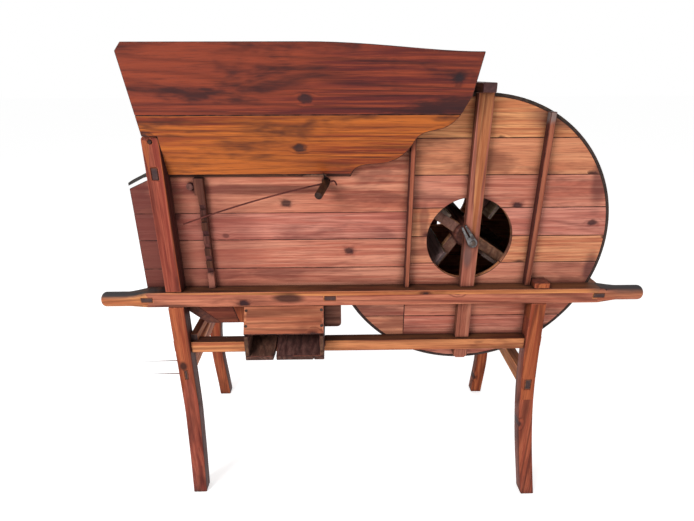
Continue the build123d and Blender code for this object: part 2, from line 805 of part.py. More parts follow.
def fan_hub(spokes, pins):
    """The wooden hub with mortises for the spokes and bores for the iron pins."""
    hub = across(0, 0, hub_radius, (-hub_length / 2, hub_length / 2))
    hub = chamfer(hub.edges().filter_by(GeomType.CIRCLE), hub_chamfer)
    for piece in spokes + pins:
        hub -= piece
    return hub


def cover_nails():
    """Four iron nails that hold the chute's cover on its sides."""
    top = (-half - chute_cover_out, rail_bottom)
    toe = (-half - chute_out, chute_lip_z)
    length = math.hypot(top[0] - toe[0], top[1] - toe[1])
    lean = math.degrees(math.atan2(top[1] - toe[1], top[0] - toe[0]))
    nails = []
    for x in (chute_left + chute_side / 2, chute_right - chute_side / 2):
        for share in (0.3, 0.85):
            y = toe[0] + (top[0] - toe[0]) * share
            z = toe[1] + (top[1] - toe[1]) * share
            shank = Cylinder(nail_radius, chute_cover, align=(Align.CENTER, Align.CENTER, Align.MAX))
            head = Cylinder(nail_head_radius, nail_head, align=(Align.CENTER, Align.CENTER, Align.MIN))
            nails.append(Pos(x, y, z) * Rot(lean, 0, 0) * (shank + head))
    return nails


def build():
    """Every sub-part, jointed, and written to its own file."""
    os.makedirs("parts", exist_ok=True)
    face = wall_face()
    sheet = tail_sheet()
    floor, chute_l, chute_r, cover, chute_space = chute_parts()
    bars = {name: crossbar(x, x + tenon_shifts[name]) for name, x in crossbars.items()}
    rung_left = rung(left_rung_ends, left_rung_z, left_rung_tenon)
    rung_right = rung(right_rung_ends, right_rung_z, right_rung_tenon)
    bar_x = (left_post_x - hopper_bar_width / 2, left_post_x + hopper_bar_width / 2)
    bar_z = (wall_top, wall_top + hopper_bar_height)
    hopper_bar = block(bar_x, (-half, half), bar_z)
    hopper_bar += block((left_post_x - hopper_bar_tenon / 2, left_post_x + hopper_bar_tenon / 2),
                        (-half - rail_depth, half + rail_depth), (bar_z[0] + 2.0, bar_z[1]))
    shaft, flap, rod = gate_parts()
    shaft_hole = across(gate_x, gate_z, gate_shaft_radius + gate_clearance, (-half - 1.0, half + 1.0))
    divider = outlet_divider()
    slope = outlet_slope()
    peg = across(peg_x, peg_z, peg_radius, (-half - peg_show, -inner))
    left_board, right_board = left_slope(), right_slope()
    right_board, throat_edge = right_board

    walls = {}
    for part, x, seams in (("duct_wall", (mouth_x, wall_joint_x), seams_duct),
                           ("drum_wall", (wall_joint_x, fan_x + drum_radius), seams_drum)):
        levels = seams if part == "drum_wall" else (seams_drum[0],) + seams
        front = planks(face, x, levels)
        for side, sign in Y_PLANES.items():
            boards = front if sign < 0 else [other_side(board) for board in front]
            cut = []
            for board in boards:
                for piece in list(bars.values()) + [sheet, shaft_hole]:
                    board = board - piece
                if side == "front":
                    board = board - peg
                cut.extend(board.solids())
            walls[f"{part}_{side}"] = cut
    for name, boards in walls.items():
        save(name, *boards)

    hopper = {
        "upper": flared_board(hopper_seam, hopper_rim_left + 1.0),
        "lower": flared_board(hopper_bottom, hopper_seam),
    }
    post_peg = across(left_post_x, post_peg_z, post_peg_radius, (-half - rail_depth - 2.0, -half))
    beam_y = half + rail_depth + beam_show - 9.0
    beam = block((fan_x - beam_width / 2, fan_x + beam_width / 2), (-beam_y, beam_y),
                 (beam_bottom, beam_bottom + beam_height))
    joinery = list(bars.values()) + [rung_left, rung_right, hopper_bar]
    for side, sign in Y_PLANES.items():
        parts = frame_side(side)
        turn = other_side if sign > 0 else (lambda shape: shape)
        placed = {name: turn(shape) for name, shape in parts.items()}
        for name in ("rail", "left", "right"):
            for piece in joinery:
                placed[name] = placed[name] - piece
        placed["left"] = placed["left"] - turn(post_peg)
        if side == "front":
            placed["lower"] = placed["lower"] - chute_space
        beam = beam - placed["post"]
        save(f"upper_rail_{side}", placed["rail"])
        save(f"lower_rail_{side}", placed["lower"])
        save(f"leg_{side}_left", placed["left"])
        save(f"leg_{side}_right", placed["right"])
        save(f"bearing_post_{side}", placed["post"])
        left_strip = batten(left_batten, left_batten_depth) - hopper["lower"] - hopper["upper"]
        save(f"drum_batten_{side}_left", turn(left_strip))
        save(f"drum_batten_{side}_right", turn(batten(right_batten, right_batten_depth)))
        for level, board in hopper.items():
            save(f"hopper_{side}_{level}", turn(board))
        save(f"outlet_skirt_{side}", turn(outlet_skirt()))
    save("top_cross_beam", beam)
    save("post_pegs", post_peg, other_side(post_peg))
    for name, bar in bars.items():
        save(f"rail_crossbar_{name}", bar)
    save("leg_rung_left", rung_left)
    save("leg_rung_right", rung_right)
    save("lower_strut", block(strut, (-strut_half, strut_half), (lower_rail_top, lower_rail_top + strut_height)))
    save("hopper_crossbar", hopper_bar)
    save("hopper_left_slope", left_board)
    save("hopper_right_slope", right_board)

    save("drum_rim", *drum_rim())
    save("tail_roof_board", sheet)
    roof_y = (-half, half)
    rim_corner = fan_x - math.sqrt(wall_radius ** 2 - (roof_top - fan_z) ** 2)
    save("duct_roof", block((bar_x[1], throat_left), roof_y, (wall_top, roof_top)),
         block((throat_edge + 3.0, rim_corner), roof_y, (wall_top, roof_top)) - across(
             fan_x, fan_z, wall_radius, roof_y) - block((throat_edge, rim_corner), (-half, -inner), (0, wall_top)))
    angle = math.radians(outlet_slope_angle)
    floor_edge = outlet_slope_toe - (crossbar_top - outlet_bottom) / math.tan(angle)
    rim_foot = fan_x - math.sqrt(wall_radius ** 2 - (crossbar_top - fan_z) ** 2)
    duct_floor = [
        block((mouth_x, floor_edge), (-inner, inner), (crossbar_top, floor_top)),
        block((chute_right, rim_foot), (-inner, inner), (crossbar_top, floor_top)),
    ]
    save("duct_floor", *duct_floor)
    walls_all = [board for boards in walls.values() for board in boards]
    for name, piece in (("light_outlet_slope", slope), ("outlet_divider", divider)):
        for board in walls_all + [bars["left"]]:
            piece = piece - board
        save(name, piece)

    nails = cover_nails()
    for nail in nails:
        cover = cover - nail
    save("grain_chute_floor", floor)
    save("grain_chute_side_left", chute_l)
    save("grain_chute_side_right", chute_r)
    save("grain_chute_cover", cover)
    save("cover_nails", *nails)
    save("trough_side_board", trough_side_board())
    save("wall_cheek", cheek())

    save("gate_shaft", shaft)
    save("gate_flap", flap)
    save("gate_rod", rod)
    save("notched_rack", notched_rack())
    save("wall_peg", peg)

    place = fan_place()
    spokes = fan_spokes()
    pins = [gudgeon("front"), gudgeon("back")]
    fasteners = paddle_nails()
    paddles = fan_paddles()
    cut_paddles = []
    cut_spokes = []
    for board in paddles:
        for nail in fasteners:
            board = board - nail
        cut_paddles.append(board)
    hub = fan_hub(spokes, pins)
    for bar in spokes:
        for nail in fasteners:
            bar = bar - nail
        cut_spokes.append(bar)
    save("fan_hub", place * hub)
    save("fan_spokes", *[place * bar for bar in cut_spokes])
    save("fan_paddles", *[place * board for board in cut_paddles])
    save("paddle_nails", *[place * nail for nail in fasteners])
    save("fan_gudgeon_front", place * pins[0])
    save("fan_gudgeon_back", place * pins[1])
    save("crank_arm", place * crank_arm())


build()
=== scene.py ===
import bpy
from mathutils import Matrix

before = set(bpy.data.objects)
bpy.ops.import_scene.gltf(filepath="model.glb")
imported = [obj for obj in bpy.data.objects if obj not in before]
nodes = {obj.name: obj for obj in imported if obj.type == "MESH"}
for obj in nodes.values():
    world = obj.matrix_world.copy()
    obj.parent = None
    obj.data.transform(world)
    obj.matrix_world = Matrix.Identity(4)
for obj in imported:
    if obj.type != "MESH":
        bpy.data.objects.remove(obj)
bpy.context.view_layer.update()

import math

import bpy
from mathutils import Matrix, Vector

# Wood tones, as light, middle and dark colours of the grain
TONES = {
    "wall": ((0.76, 0.33, 0.195), (0.53, 0.165, 0.095), (0.115, 0.026, 0.022)),
    "hopper": ((0.32, 0.058, 0.021), (0.125, 0.017, 0.013), (0.026, 0.006, 0.007)),
    "hopper_low": ((0.58, 0.150, 0.026), (0.240, 0.036, 0.012), (0.030, 0.005, 0.006)),
    "frame": ((0.70, 0.270, 0.130), (0.45, 0.125, 0.062), (0.100, 0.024, 0.016)),
    "leg": ((0.46, 0.120, 0.058), (0.28, 0.053, 0.028), (0.065, 0.014, 0.010)),
    "post": ((0.52, 0.20, 0.125), (0.35, 0.105, 0.063), (0.090, 0.022, 0.016)),
    "batten": ((0.40, 0.125, 0.080), (0.25, 0.060, 0.038), (0.060, 0.013, 0.011)),
    "rim": ((0.080, 0.048, 0.040), (0.038, 0.021, 0.018), (0.012, 0.008, 0.007)),
    "slate": ((0.085, 0.080, 0.080), (0.045, 0.040, 0.042), (0.014, 0.012, 0.013)),
    "roof": ((0.26, 0.105, 0.070), (0.14, 0.052, 0.037), (0.038, 0.014, 0.012)),
    "outlet": ((0.30, 0.080, 0.048), (0.17, 0.036, 0.024), (0.040, 0.010, 0.009)),
    "divider": ((0.62, 0.200, 0.070), (0.45, 0.110, 0.040), (0.13, 0.026, 0.014)),
    "chute": ((0.150, 0.070, 0.058), (0.075, 0.030, 0.026), (0.018, 0.009, 0.009)),
    "cover": ((0.60, 0.215, 0.140), (0.42, 0.120, 0.076), (0.12, 0.028, 0.020)),
    "cheek": ((0.27, 0.110, 0.100), (0.16, 0.058, 0.052), (0.050, 0.018, 0.018)),
    "rack": ((0.16, 0.055, 0.040), (0.080, 0.023, 0.018), (0.020, 0.007, 0.007)),
    "dark": ((0.070, 0.028, 0.022), (0.034, 0.012, 0.011), (0.010, 0.005, 0.005)),
    "gate": ((0.36, 0.16, 0.10), (0.23, 0.095, 0.058), (0.08, 0.028, 0.020)),
    "bamboo": ((0.17, 0.045, 0.032), (0.090, 0.020, 0.016), (0.030, 0.008, 0.008)),
    "fan": ((0.34, 0.235, 0.200), (0.19, 0.120, 0.100), (0.050, 0.030, 0.027)),
    # The spokes' tone is brightened, a painted light for the light that falls on them through the hole in the
    # drum
    "spoke": ((0.86, 0.440, 0.290), (0.62, 0.260, 0.165), (0.17, 0.055, 0.040)),
}

# Colours of dirt and wear, and of painted shade
SEAM_DIRT_AND_SHADE = (0.020, 0.009, 0.008)
KNOT = (0.020, 0.010, 0.013)
# A near black painted on the side faces as shade
SHADED_SIDE = (0.036, 0.012, 0.012)
END_GRAIN = (0.038, 0.029, 0.033)
DARK_TOP = (0.026, 0.012, 0.011)
EDGE_DIRT = (0.040, 0.013, 0.011)
EDGE_WOOD = (0.16, 0.048, 0.030)
GREY_SMEAR = (0.13, 0.085, 0.080)
DARK_STAIN = (0.028, 0.010, 0.009)
GRIP_DIRT = (0.040, 0.048, 0.052)
PALE_WEAR = (0.22, 0.19, 0.18)
RED_WEAR = (0.36, 0.13, 0.09)

# The grain runs along one axis, and a board's broad side runs across it along another
AXES = {"x": 0, "y": 1, "z": 2}
ACROSS = {"x": 2, "y": 0, "z": 0}

# How often each noise repeats in a metre, along and across the grain
RING_PITCH = (0.36, 8.5)
FIBRE_PITCH = (14.0, 420.0)
STREAK_PITCH = (2.4, 95.0)
PATCH_PITCH = (3.2, 13.0)
WIDE_PITCH = (1.6, 6.0)
SPECK_PITCH = (85.0, 85.0)
KNOT_EDGE_PITCH = (90.0, 90.0)
KNOT_CELLS = (8.0, 11.0)

# What a plank's own random number does to its place in the grain
PLANK_STEPS = (13.7, 7.9, 23.3)
# and to its red, green and blue, each as a gain and a least value
PLANK_TINTS = ((0.26, 0.88), (0.40, 0.80), (-0.22, 1.00))

WOOD_SPECULAR = 0.14
EDGE_SPECULAR = 0.2
COAT_ROUGHNESS = 0.20
# How far the painted shade and grime in corners and seams reach
DIRT_AND_SHADE_REACH = 0.030


class Tree:
    """A material's node tree, with short calls for the nodes that the finishes use."""

    def __init__(self, name):
        self.material = bpy.data.materials.new(name)
        self.material.use_nodes = True
        self.tree = self.material.node_tree
        self.tree.nodes.clear()
        self.shader = self.add("ShaderNodeBsdfPrincipled")
        output = self.add("ShaderNodeOutputMaterial")
        self.tree.links.new(self.shader.outputs[0], output.inputs[0])

    def add(self, kind, **settings):
        node = self.tree.nodes.new(kind)
        for key, value in settings.items():
            setattr(node, key, value)
        return node

    def feed(self, socket, value):
        if isinstance(value, bpy.types.NodeSocket):
            self.tree.links.new(value, socket)
        elif isinstance(value, (tuple, list)) and socket.type == "RGBA":
            socket.default_value = (*value, 1.0)
        else:
            socket.default_value = value

    def surface(self, **values):
        """Sets the shader's inputs, named as in Blender with _ for a space."""
        for key, value in values.items():
            self.feed(self.shader.inputs[key.replace("_", " ")], value)

    def math(self, operation, first, second=0.0, third=0.0, clamp=False):
        node = self.add("ShaderNodeMath", operation=operation, use_clamp=clamp)
        for socket, value in zip(node.inputs, (first, second, third)):
            self.feed(socket, value)
        return node.outputs[0]

    def times(self, first, second):
        return self.math("MULTIPLY", first, second)

    def vector(self, operation, first, second):
        node = self.add("ShaderNodeVectorMath", operation=operation)
        self.feed(node.inputs[0], first)
        self.feed(node.inputs[1], second)
        return node.outputs["Value"] if operation == "DISTANCE" else node.outputs[0]

    def mix(self, factor, first, second, blend="MIX"):
        node = self.add("ShaderNodeMix", data_type="RGBA", blend_type=blend)
        self.feed(node.inputs[0], factor)
        self.feed(node.inputs[6], first)
        self.feed(node.inputs[7], second)
        return node.outputs[2]

    def noise(self, place, pitch, detail=2.0, rough=0.5, distortion=0.0):
        """A noise whose pitch is how often it repeats in a metre along X, Y and Z."""
        node = self.add("ShaderNodeTexNoise")
        self.feed(node.inputs["Vector"], self.vector("MULTIPLY", place, pitch))
        self.feed(node.inputs["Scale"], 1.0)
        self.feed(node.inputs["Detail"], detail)
        self.feed(node.inputs["Roughness"], rough)
        self.feed(node.inputs["Distortion"], distortion)
        return node.outputs[0]

    def ramp(self, value, low, high, start=0.0, end=1.0):
        node = self.add("ShaderNodeMapRange", interpolation_type="SMOOTHSTEP")
        for socket, number in zip(node.inputs, (value, low, high, start, end)):
            self.feed(socket, number)
        return node.outputs[0]

    def combine(self, kind, values):
        node = self.add(kind)
        for socket, value in zip(node.inputs, values):
            self.feed(socket, value)
        return node.outputs[0]

    def place(self):
        return self.add("ShaderNodeTexCoord").outputs["Object"]

    def parts(self, vector):
        node = self.add("ShaderNodeSeparateXYZ")
        self.feed(node.inputs[0], vector)
        return node.outputs

    def bump(self, height, strength, distance):
        node = self.add("ShaderNodeBump")
        self.feed(node.inputs["Strength"], strength)
        self.feed(node.inputs["Distance"], distance)
        self.feed(node.inputs["Height"], height)
        self.surface(Normal=node.outputs[0])


def stretched(axis, pitch):
    """A pitch along and across the grain, as one along X, Y and Z."""
    return tuple(pitch[0] if AXES[axis] == i else pitch[1] for i in range(3))


def knots_of(t, base, axis, share):
    """Knots in a share of the cells: how near, whether one is there, its core and the bend round it."""
    parts = t.parts(base)
    flat = t.combine("ShaderNodeCombineXYZ", (
        t.times(parts[AXES[axis]], KNOT_CELLS[0]), t.times(parts[ACROSS[axis]], KNOT_CELLS[1])))
    cells = t.add("ShaderNodeTexVoronoi", feature="F1", voronoi_dimensions="2D")
    t.feed(cells.inputs["Vector"], flat)
    t.feed(cells.inputs["Scale"], 1.0)
    pick = t.parts(cells.outputs["Color"])
    ragged = t.noise(base, stretched(axis, KNOT_EDGE_PITCH), 2.0)
    near = t.math("ADD", cells.outputs["Distance"], t.math("MULTIPLY_ADD", ragged, 0.10, -0.05))
    chosen = t.math("LESS_THAN", pick[0], share)
    size = t.math("MULTIPLY_ADD", pick[1], 0.065, 0.065)
    outside = t.ramp(near, t.times(size, 0.55), t.times(size, 1.35))
    core = t.times(chosen, t.math("SUBTRACT", 1.0, outside))
    return near, chosen, core, t.times(chosen, t.ramp(near, 0.27, 0.02))


def rings_of(t, base, axis, rings, bend):
    """Growth rings, as level lines of a slow noise, bent round the knots."""
    slow = t.noise(base, stretched(axis, RING_PITCH), 1.4, 0.42, 0.05)
    wave = t.math("SINE", t.times(t.math("MULTIPLY_ADD", slow, rings, bend), 2.0 * math.pi))
    return t.math("POWER", t.math("MULTIPLY_ADD", wave, 0.5, 0.5), 3.2)


def wood(name, tone, axis="x", rings=26.0, knots=0.3, shift=0.0, gloss=(0.40, 0.66), coat=0.0, blotch=0.45,
         warm=0.4, lines=0.62, grime_and_shade=0.7, top=0.0, side_shade=0.0, end=0.6, marks=(), depth=0.0011):
    """Old plank or timber: growth rings, pores, knots, blotches, grime and painted shade in corners and dark
    end grain.

    A mark is a stain, as its colour, strength, centre and reach along X, Y and Z.
    """
    light, middle, dark = TONES[tone]
    t = Tree(name)
    geometry = t.add("ShaderNodeNewGeometry")
    island = geometry.outputs["Random Per Island"]
    here = t.place()
    # Each plank is cut from another place in the grain
    base = t.vector("ADD", here, t.combine("ShaderNodeCombineXYZ", [
        t.math("MULTIPLY_ADD", island, step, shift) for step in PLANK_STEPS]))
    near, chosen, knot, bend = knots_of(t, base, axis, knots)
    ring = rings_of(t, base, axis, rings, bend)
    fibre = t.noise(base, stretched(axis, FIBRE_PITCH), 3.0, 0.62)
    streak = t.noise(base, stretched(axis, STREAK_PITCH), 4.0, 0.66)
    patch = t.noise(base, stretched(axis, PATCH_PITCH), 4.0, 0.62, 0.3)
    wide = t.noise(base, stretched(axis, WIDE_PITCH), 2.0, 0.5, 0.2)
    speck = t.noise(base, stretched(axis, SPECK_PITCH), 3.0, 0.6)

    # The grain's colours
    colour = t.mix(t.ramp(streak, 0.38, 0.60), light, middle)
    colour = t.mix(t.times(t.ramp(wide, 0.54, 0.38), warm), colour, light)
    colour = t.mix(t.times(ring, t.ramp(wide, 0.35, 0.62, lines * 0.45, lines)), colour, dark)
    colour = t.mix(t.times(t.ramp(fibre, 0.50, 0.68), 0.40), colour, dark)
    colour = t.mix(t.times(t.ramp(patch, 0.50, 0.66), blotch), colour, dark)
    cloud = t.times(t.ramp(near, 0.24, 0.05), t.ramp(patch, 0.40, 0.60))
    colour = t.mix(t.times(t.times(chosen, cloud), 0.85), colour, dark)
    colour = t.mix(t.times(knot, 0.80), colour, KNOT)
    # Each plank has a tint of its own, from a dull purple red to a bright orange
    tint = t.combine("ShaderNodeCombineColor", [
        t.math("MULTIPLY_ADD", island, gain, least) for gain, least in PLANK_TINTS])
    colour = t.mix(1.0, colour, tint, "MULTIPLY")

    # Painted shade on the side faces, darker top faces and dark end grain by where a face looks, then stains,
    # then grime and painted shade in the corners
    facing = t.parts(geometry.outputs["Normal"])
    # Painted shade: faces that look along X, to either side, are darkened towards a near black
    if side_shade:
        turned = t.ramp(t.math("ABSOLUTE", facing[0]), 0.60, 0.92)
        colour = t.mix(t.times(turned, side_shade), colour, SHADED_SIDE)
    if end:
        cut_across = t.ramp(t.math("ABSOLUTE", facing[AXES[axis]]), 0.75, 0.93)
        colour = t.mix(t.times(cut_across, end), colour, END_GRAIN)
    # Top faces are made darker in patches
    if top:
        upward = t.times(t.ramp(facing[2], 0.55, 0.90), t.ramp(patch, 0.72, 0.40, top * 0.7, top))
        colour = t.mix(upward, colour, DARK_TOP)
    for stain, strength, centre, reach in marks:
        offset = t.vector("MULTIPLY", t.vector("SUBTRACT", here, centre), tuple(1.0 / r for r in reach))
        distance = t.vector("DISTANCE", offset, (0.0, 0.0, 0.0))
        ragged = t.math("ADD", distance, t.math("MULTIPLY_ADD", patch, 1.4, -0.7))
        colour = t.mix(t.times(t.ramp(ragged, 1.05, 0.45), strength), colour, stain)
    # Painted shade and grime: the colour darkens where ambient occlusion finds the surface hemmed in, in
    # corners, seams and recesses
    corner = t.add("ShaderNodeAmbientOcclusion", samples=6)
    t.feed(corner.inputs["Distance"], DIRT_AND_SHADE_REACH)
    colour = t.mix(t.times(t.ramp(corner.outputs["AO"], 0.86, 0.34), grime_and_shade), colour, SEAM_DIRT_AND_SHADE)

    rough = t.math("MULTIPLY_ADD", speck, gloss[1] - gloss[0], gloss[0])
    t.surface(Base_Color=colour, Roughness=t.math("MULTIPLY_ADD", ring, 0.08, rough, clamp=True),
              Specular_IOR_Level=WOOD_SPECULAR, Coat_Weight=coat, Coat_Roughness=COAT_ROUGHNESS)
    pores = t.math("ADD", t.times(ring, -0.40), t.times(fibre, -0.55))
    swell = t.math("MULTIPLY_ADD", patch, 0.7, t.times(knot, -0.6))
    t.bump(t.math("ADD", pores, swell), 0.85, depth)
    return t.material


def worn_edge():
    """The dirty worn edges of boards."""
    t = Tree("worn_edge")
    patch = t.noise(t.place(), (35.0, 35.0, 35.0), 4.0, 0.65)
    t.surface(Base_Color=t.mix(t.ramp(patch, 0.42, 0.66), EDGE_DIRT, EDGE_WOOD),
              Roughness=t.math("MULTIPLY_ADD", patch, 0.3, 0.5), Specular_IOR_Level=EDGE_SPECULAR)
    t.bump(patch, 0.6, 0.001)
    return t.material


def iron(name, colour, rust, gloss):
    """Forged iron with a brown skin and rubbed patches."""
    t = Tree(name)
    here = t.place()
    patch = t.noise(here, (55.0, 55.0, 55.0), 4.0, 0.62)
    pits = t.noise(here, (420.0, 420.0, 420.0), 3.0, 0.6)
    tone = t.mix(t.ramp(patch, 0.40, 0.62), colour, rust)
    tone = t.mix(t.times(t.ramp(pits, 0.55, 0.72), 0.6), tone, tuple(0.3 * c for c in rust))
    rough = t.math("MULTIPLY_ADD", patch, 0.45, gloss, clamp=True)
    t.surface(Base_Color=tone, Metallic=0.75, Roughness=rough)
    t.bump(t.math("ADD", patch, t.times(pits, 0.5)), 0.6, 0.0006)
    return t.material


FINISH = {}


def both(stem):
    return [f"{stem}_front", f"{stem}_back"]


def finish_with(material, *names):
    for name in names:
        FINISH[name] = material


# Walls
finish_with(wood("wall_fir", "wall", knots=0.26, shift=3.1, blotch=0.55, lines=0.26, marks=(
    ((0.125, 0.030, 0.026), 0.88, (-0.660, -0.265, 0.940), (0.080, 1.20, 0.40)),
    ((0.10, 0.022, 0.018), 0.75, (-0.330, -0.265, 1.088), (0.36, 1.20, 0.018)),
    ((0.22, 0.055, 0.042), 0.50, (-0.500, -0.265, 0.930), (0.19, 1.20, 0.26)),
)), *both("duct_wall"))
finish_with(wood("drum_fir", "wall", knots=0.24, shift=8.7, blotch=0.55, lines=0.26, marks=(
    ((0.100, 0.030, 0.028), 0.70, (0.500, -0.265, 1.275), (0.120, 1.20, 0.040)),
    ((0.090, 0.026, 0.026), 0.65, (0.625, -0.265, 1.120), (0.035, 1.20, 0.110)),
    ((0.080, 0.024, 0.028), 0.75, (0.645, -0.265, 0.840), (0.030, 1.20, 0.060)),
    ((0.140, 0.040, 0.034), 0.55, (0.140, -0.265, 0.985), (0.016, 1.20, 0.075)),
)), *both("drum_wall"))
finish_with(wood("rim_board", "rim", axis="y", rings=14.0, knots=0.1, shift=1.3, end=0.3), "drum_rim")
finish_with(wood("tail_board", "slate", axis="y", rings=14.0, knots=0.0, shift=4.4), "tail_roof_board")
finish_with(wood("roof_board", "roof", rings=16.0, knots=0.2, shift=4.9), "duct_roof", "duct_floor")
finish_with(wood("cheek_board", "cheek", rings=14.0, knots=0.1, shift=8.3), "wall_cheek")

# Hopper
VARNISH = dict(rings=20.0, gloss=(0.26, 0.46), coat=0.12)
finish_with(wood("hopper_upper_board", "hopper", knots=0.14, shift=1.7, blotch=0.85, warm=0.75, **VARNISH),
            "hopper_front_upper", "hopper_back_upper")
finish_with(wood("hopper_lower_board", "hopper_low", knots=0.16, shift=5.2, blotch=0.80, warm=0.8, **VARNISH),
            "hopper_front_lower", "hopper_back_lower")
finish_with(wood("hopper_slope_board", "hopper", axis="y", rings=16.0, knots=0.2, shift=9.9, coat=0.1),
            "hopper_left_slope", "hopper_right_slope")

# Frame
finish_with(wood("rail_timber", "frame", rings=16.0, knots=0.10, shift=2.4, top=0.92, marks=(
    (DARK_STAIN, 0.85, (-0.255, -0.310, 0.776), (0.060, 0.06, 0.020)),
    (DARK_STAIN, 0.70, (-0.600, -0.310, 0.752), (0.090, 0.06, 0.012)),
    (GRIP_DIRT, 0.80, (-0.770, -0.2875, 0.800), (0.16, 0.06, 0.026)),
    (GRIP_DIRT, 0.80, (0.770, -0.2875, 0.800), (0.16, 0.06, 0.026)),
)), *both("upper_rail"))
finish_with(wood("lower_rail_timber", "frame", rings=16.0, knots=0.08, shift=6.6, top=0.9, blotch=0.6),
            *both("lower_rail"))
finish_with(wood("leg_timber_left", "leg", axis="z", rings=14.0, knots=0.08, shift=4.3, side_shade=0.85, marks=(
    (DARK_STAIN, 0.9, (-0.588, -0.310, 0.545), (0.016, 0.06, 0.022)),
)), "leg_front_left", "leg_back_left")
finish_with(wood("leg_timber_right", "leg", axis="z", rings=14.0, knots=0.10, shift=7.8, side_shade=0.5),
            "leg_front_right", "leg_back_right")
POST_MARKS = (
    (GREY_SMEAR, 0.60, (0.266, -0.292, 0.900), (0.016, 0.06, 0.050)),
    (DARK_STAIN, 0.60, (0.2745, -0.292, 0.939), (0.030, 0.06, 0.028)),
)
finish_with(wood("bearing_post_timber", "post", axis="z", rings=30.0, knots=0.03, shift=0.6, side_shade=0.6,
                 marks=POST_MARKS), *both("bearing_post"))
finish_with(wood("batten_timber", "batten", axis="z", rings=12.0, knots=0.05, shift=3.7, side_shade=0.8, marks=(
    (PALE_WEAR, 0.7, (0.456, -0.28, 1.285), (0.03, 0.10, 0.030)),
)), *[f"drum_batten_{side}_{end}" for side in ("front", "back") for end in ("left", "right")])
finish_with(wood("cross_timber", "frame", axis="y", rings=12.0, knots=0.1, shift=5.9, end=0.9, top=0.5),
            "rail_crossbar_left", "rail_crossbar_middle", "rail_crossbar_right", "leg_rung_left",
            "leg_rung_right", "lower_strut", "hopper_crossbar")
finish_with(wood("beam_timber", "cheek", axis="y", rings=12.0, knots=0.05, shift=2.9, end=0.5, top=0.7),
            "top_cross_beam")

# Outlets and chute
finish_with(wood("outlet_board", "outlet", axis="y", rings=14.0, knots=0.12, shift=6.1),
            "light_outlet_slope", "trough_side_board")
finish_with(wood("outlet_skirt_board", "outlet", rings=14.0, knots=0.12, shift=1.1), *both("outlet_skirt"))
finish_with(wood("divider_board", "divider", axis="z", rings=12.0, knots=0.0, shift=2.2), "outlet_divider")
finish_with(wood("chute_board", "chute", axis="y", rings=14.0, knots=0.06, shift=7.1, end=0.0),
            "grain_chute_floor", "grain_chute_side_left", "grain_chute_side_right")
finish_with(wood("cover_board", "cover", rings=18.0, knots=0.14, shift=3.3), "grain_chute_cover")

# Gate and its rack
finish_with(wood("rack_strip", "rack", axis="z", rings=12.0, knots=0.0, shift=0.9, marks=(
    (RED_WEAR, 0.9, (-0.4775, -0.284, 0.822), (0.05, 0.10, 0.030)),
)), "notched_rack")
finish_with(wood("dark_stick", "dark", axis="y", rings=10.0, knots=0.0, shift=1.9, end=0.2),
            "gate_shaft", "post_pegs")
finish_with(wood("peg_wood", "cheek", axis="y", rings=10.0, knots=0.0, shift=3.9, end=0.2), "wall_peg")
finish_with(wood("gate_board", "gate", axis="y", rings=14.0, knots=0.1, shift=5.5), "gate_flap")
finish_with(wood("bamboo_rod", "bamboo", rings=6.0, knots=0.0, shift=4.1, end=0.0), "gate_rod")

# Fan and iron
finish_with(wood("paddle_board", "fan", axis="y", rings=16.0, knots=0.15, shift=6.9), "fan_paddles")
finish_with(wood("hub_timber", "rack", axis="y", rings=12.0, knots=0.0, shift=3.9, end=0.2), "fan_hub")
# The spokes get the brightened tone: painted light
finish_with(wood("spoke_timber_painted_light", "spoke", axis="y", rings=12.0, knots=0.05, shift=7.7), "fan_spokes")
finish_with(iron("crank_iron", (0.20, 0.19, 0.19), (0.070, 0.055, 0.052), 0.24), "crank_arm")
finish_with(iron("pin_iron", (0.20, 0.18, 0.17), (0.10, 0.065, 0.05), 0.30), *both("fan_gudgeon"))
finish_with(iron("nail_iron", (0.07, 0.055, 0.05), (0.06, 0.03, 0.022), 0.45), "paddle_nails", "cover_nails")
WORN_EDGE = worn_edge()

# Widths of the rounded edges by how a name starts, in metres
EDGE = {
    "upper_rail": 0.0030, "lower_rail": 0.0025, "leg_": 0.0032, "bearing_post": 0.0022, "drum_batten": 0.0016,
    "duct_wall": 0.0014, "drum_wall": 0.0014, "hopper_": 0.0018, "top_cross": 0.0025, "drum_rim": 0.0012,
    "grain_chute": 0.0020, "fan_": 0.0020, "crank": 0.0016, "wall_cheek": 0.0020, "outlet_": 0.0018,
    "notched": 0.0014, "light_outlet": 0.0018,
}
SMALL_EDGE = 0.0010
EDGE_SEGMENTS = 2
SHARP_ANGLE = math.radians(32)
FLAT_ANGLE = math.radians(0.4)
WELD_DISTANCE = 0.00002
DIRTY_EDGED = ("duct_wall", "drum_wall", "hopper_", "drum_batten", "grain_chute", "outlet_")
FINELY_CUT = ("gate_rod", "fan_gudgeon", "crank", "notched")

# Heights of the seams between the planks of the walls, in metres
PLANK_SEAMS = {
    "duct_wall": (0.689, 0.854, 0.942, 1.022),
    "drum_wall": (0.689, 0.865, 0.9475, 1.032, 1.125, 1.224),
}
SEAM_MARGIN = 0.0005


def by_stem(table, name, otherwise=None):
    return next((value for stem, value in table.items() if name.startswith(stem)), otherwise)


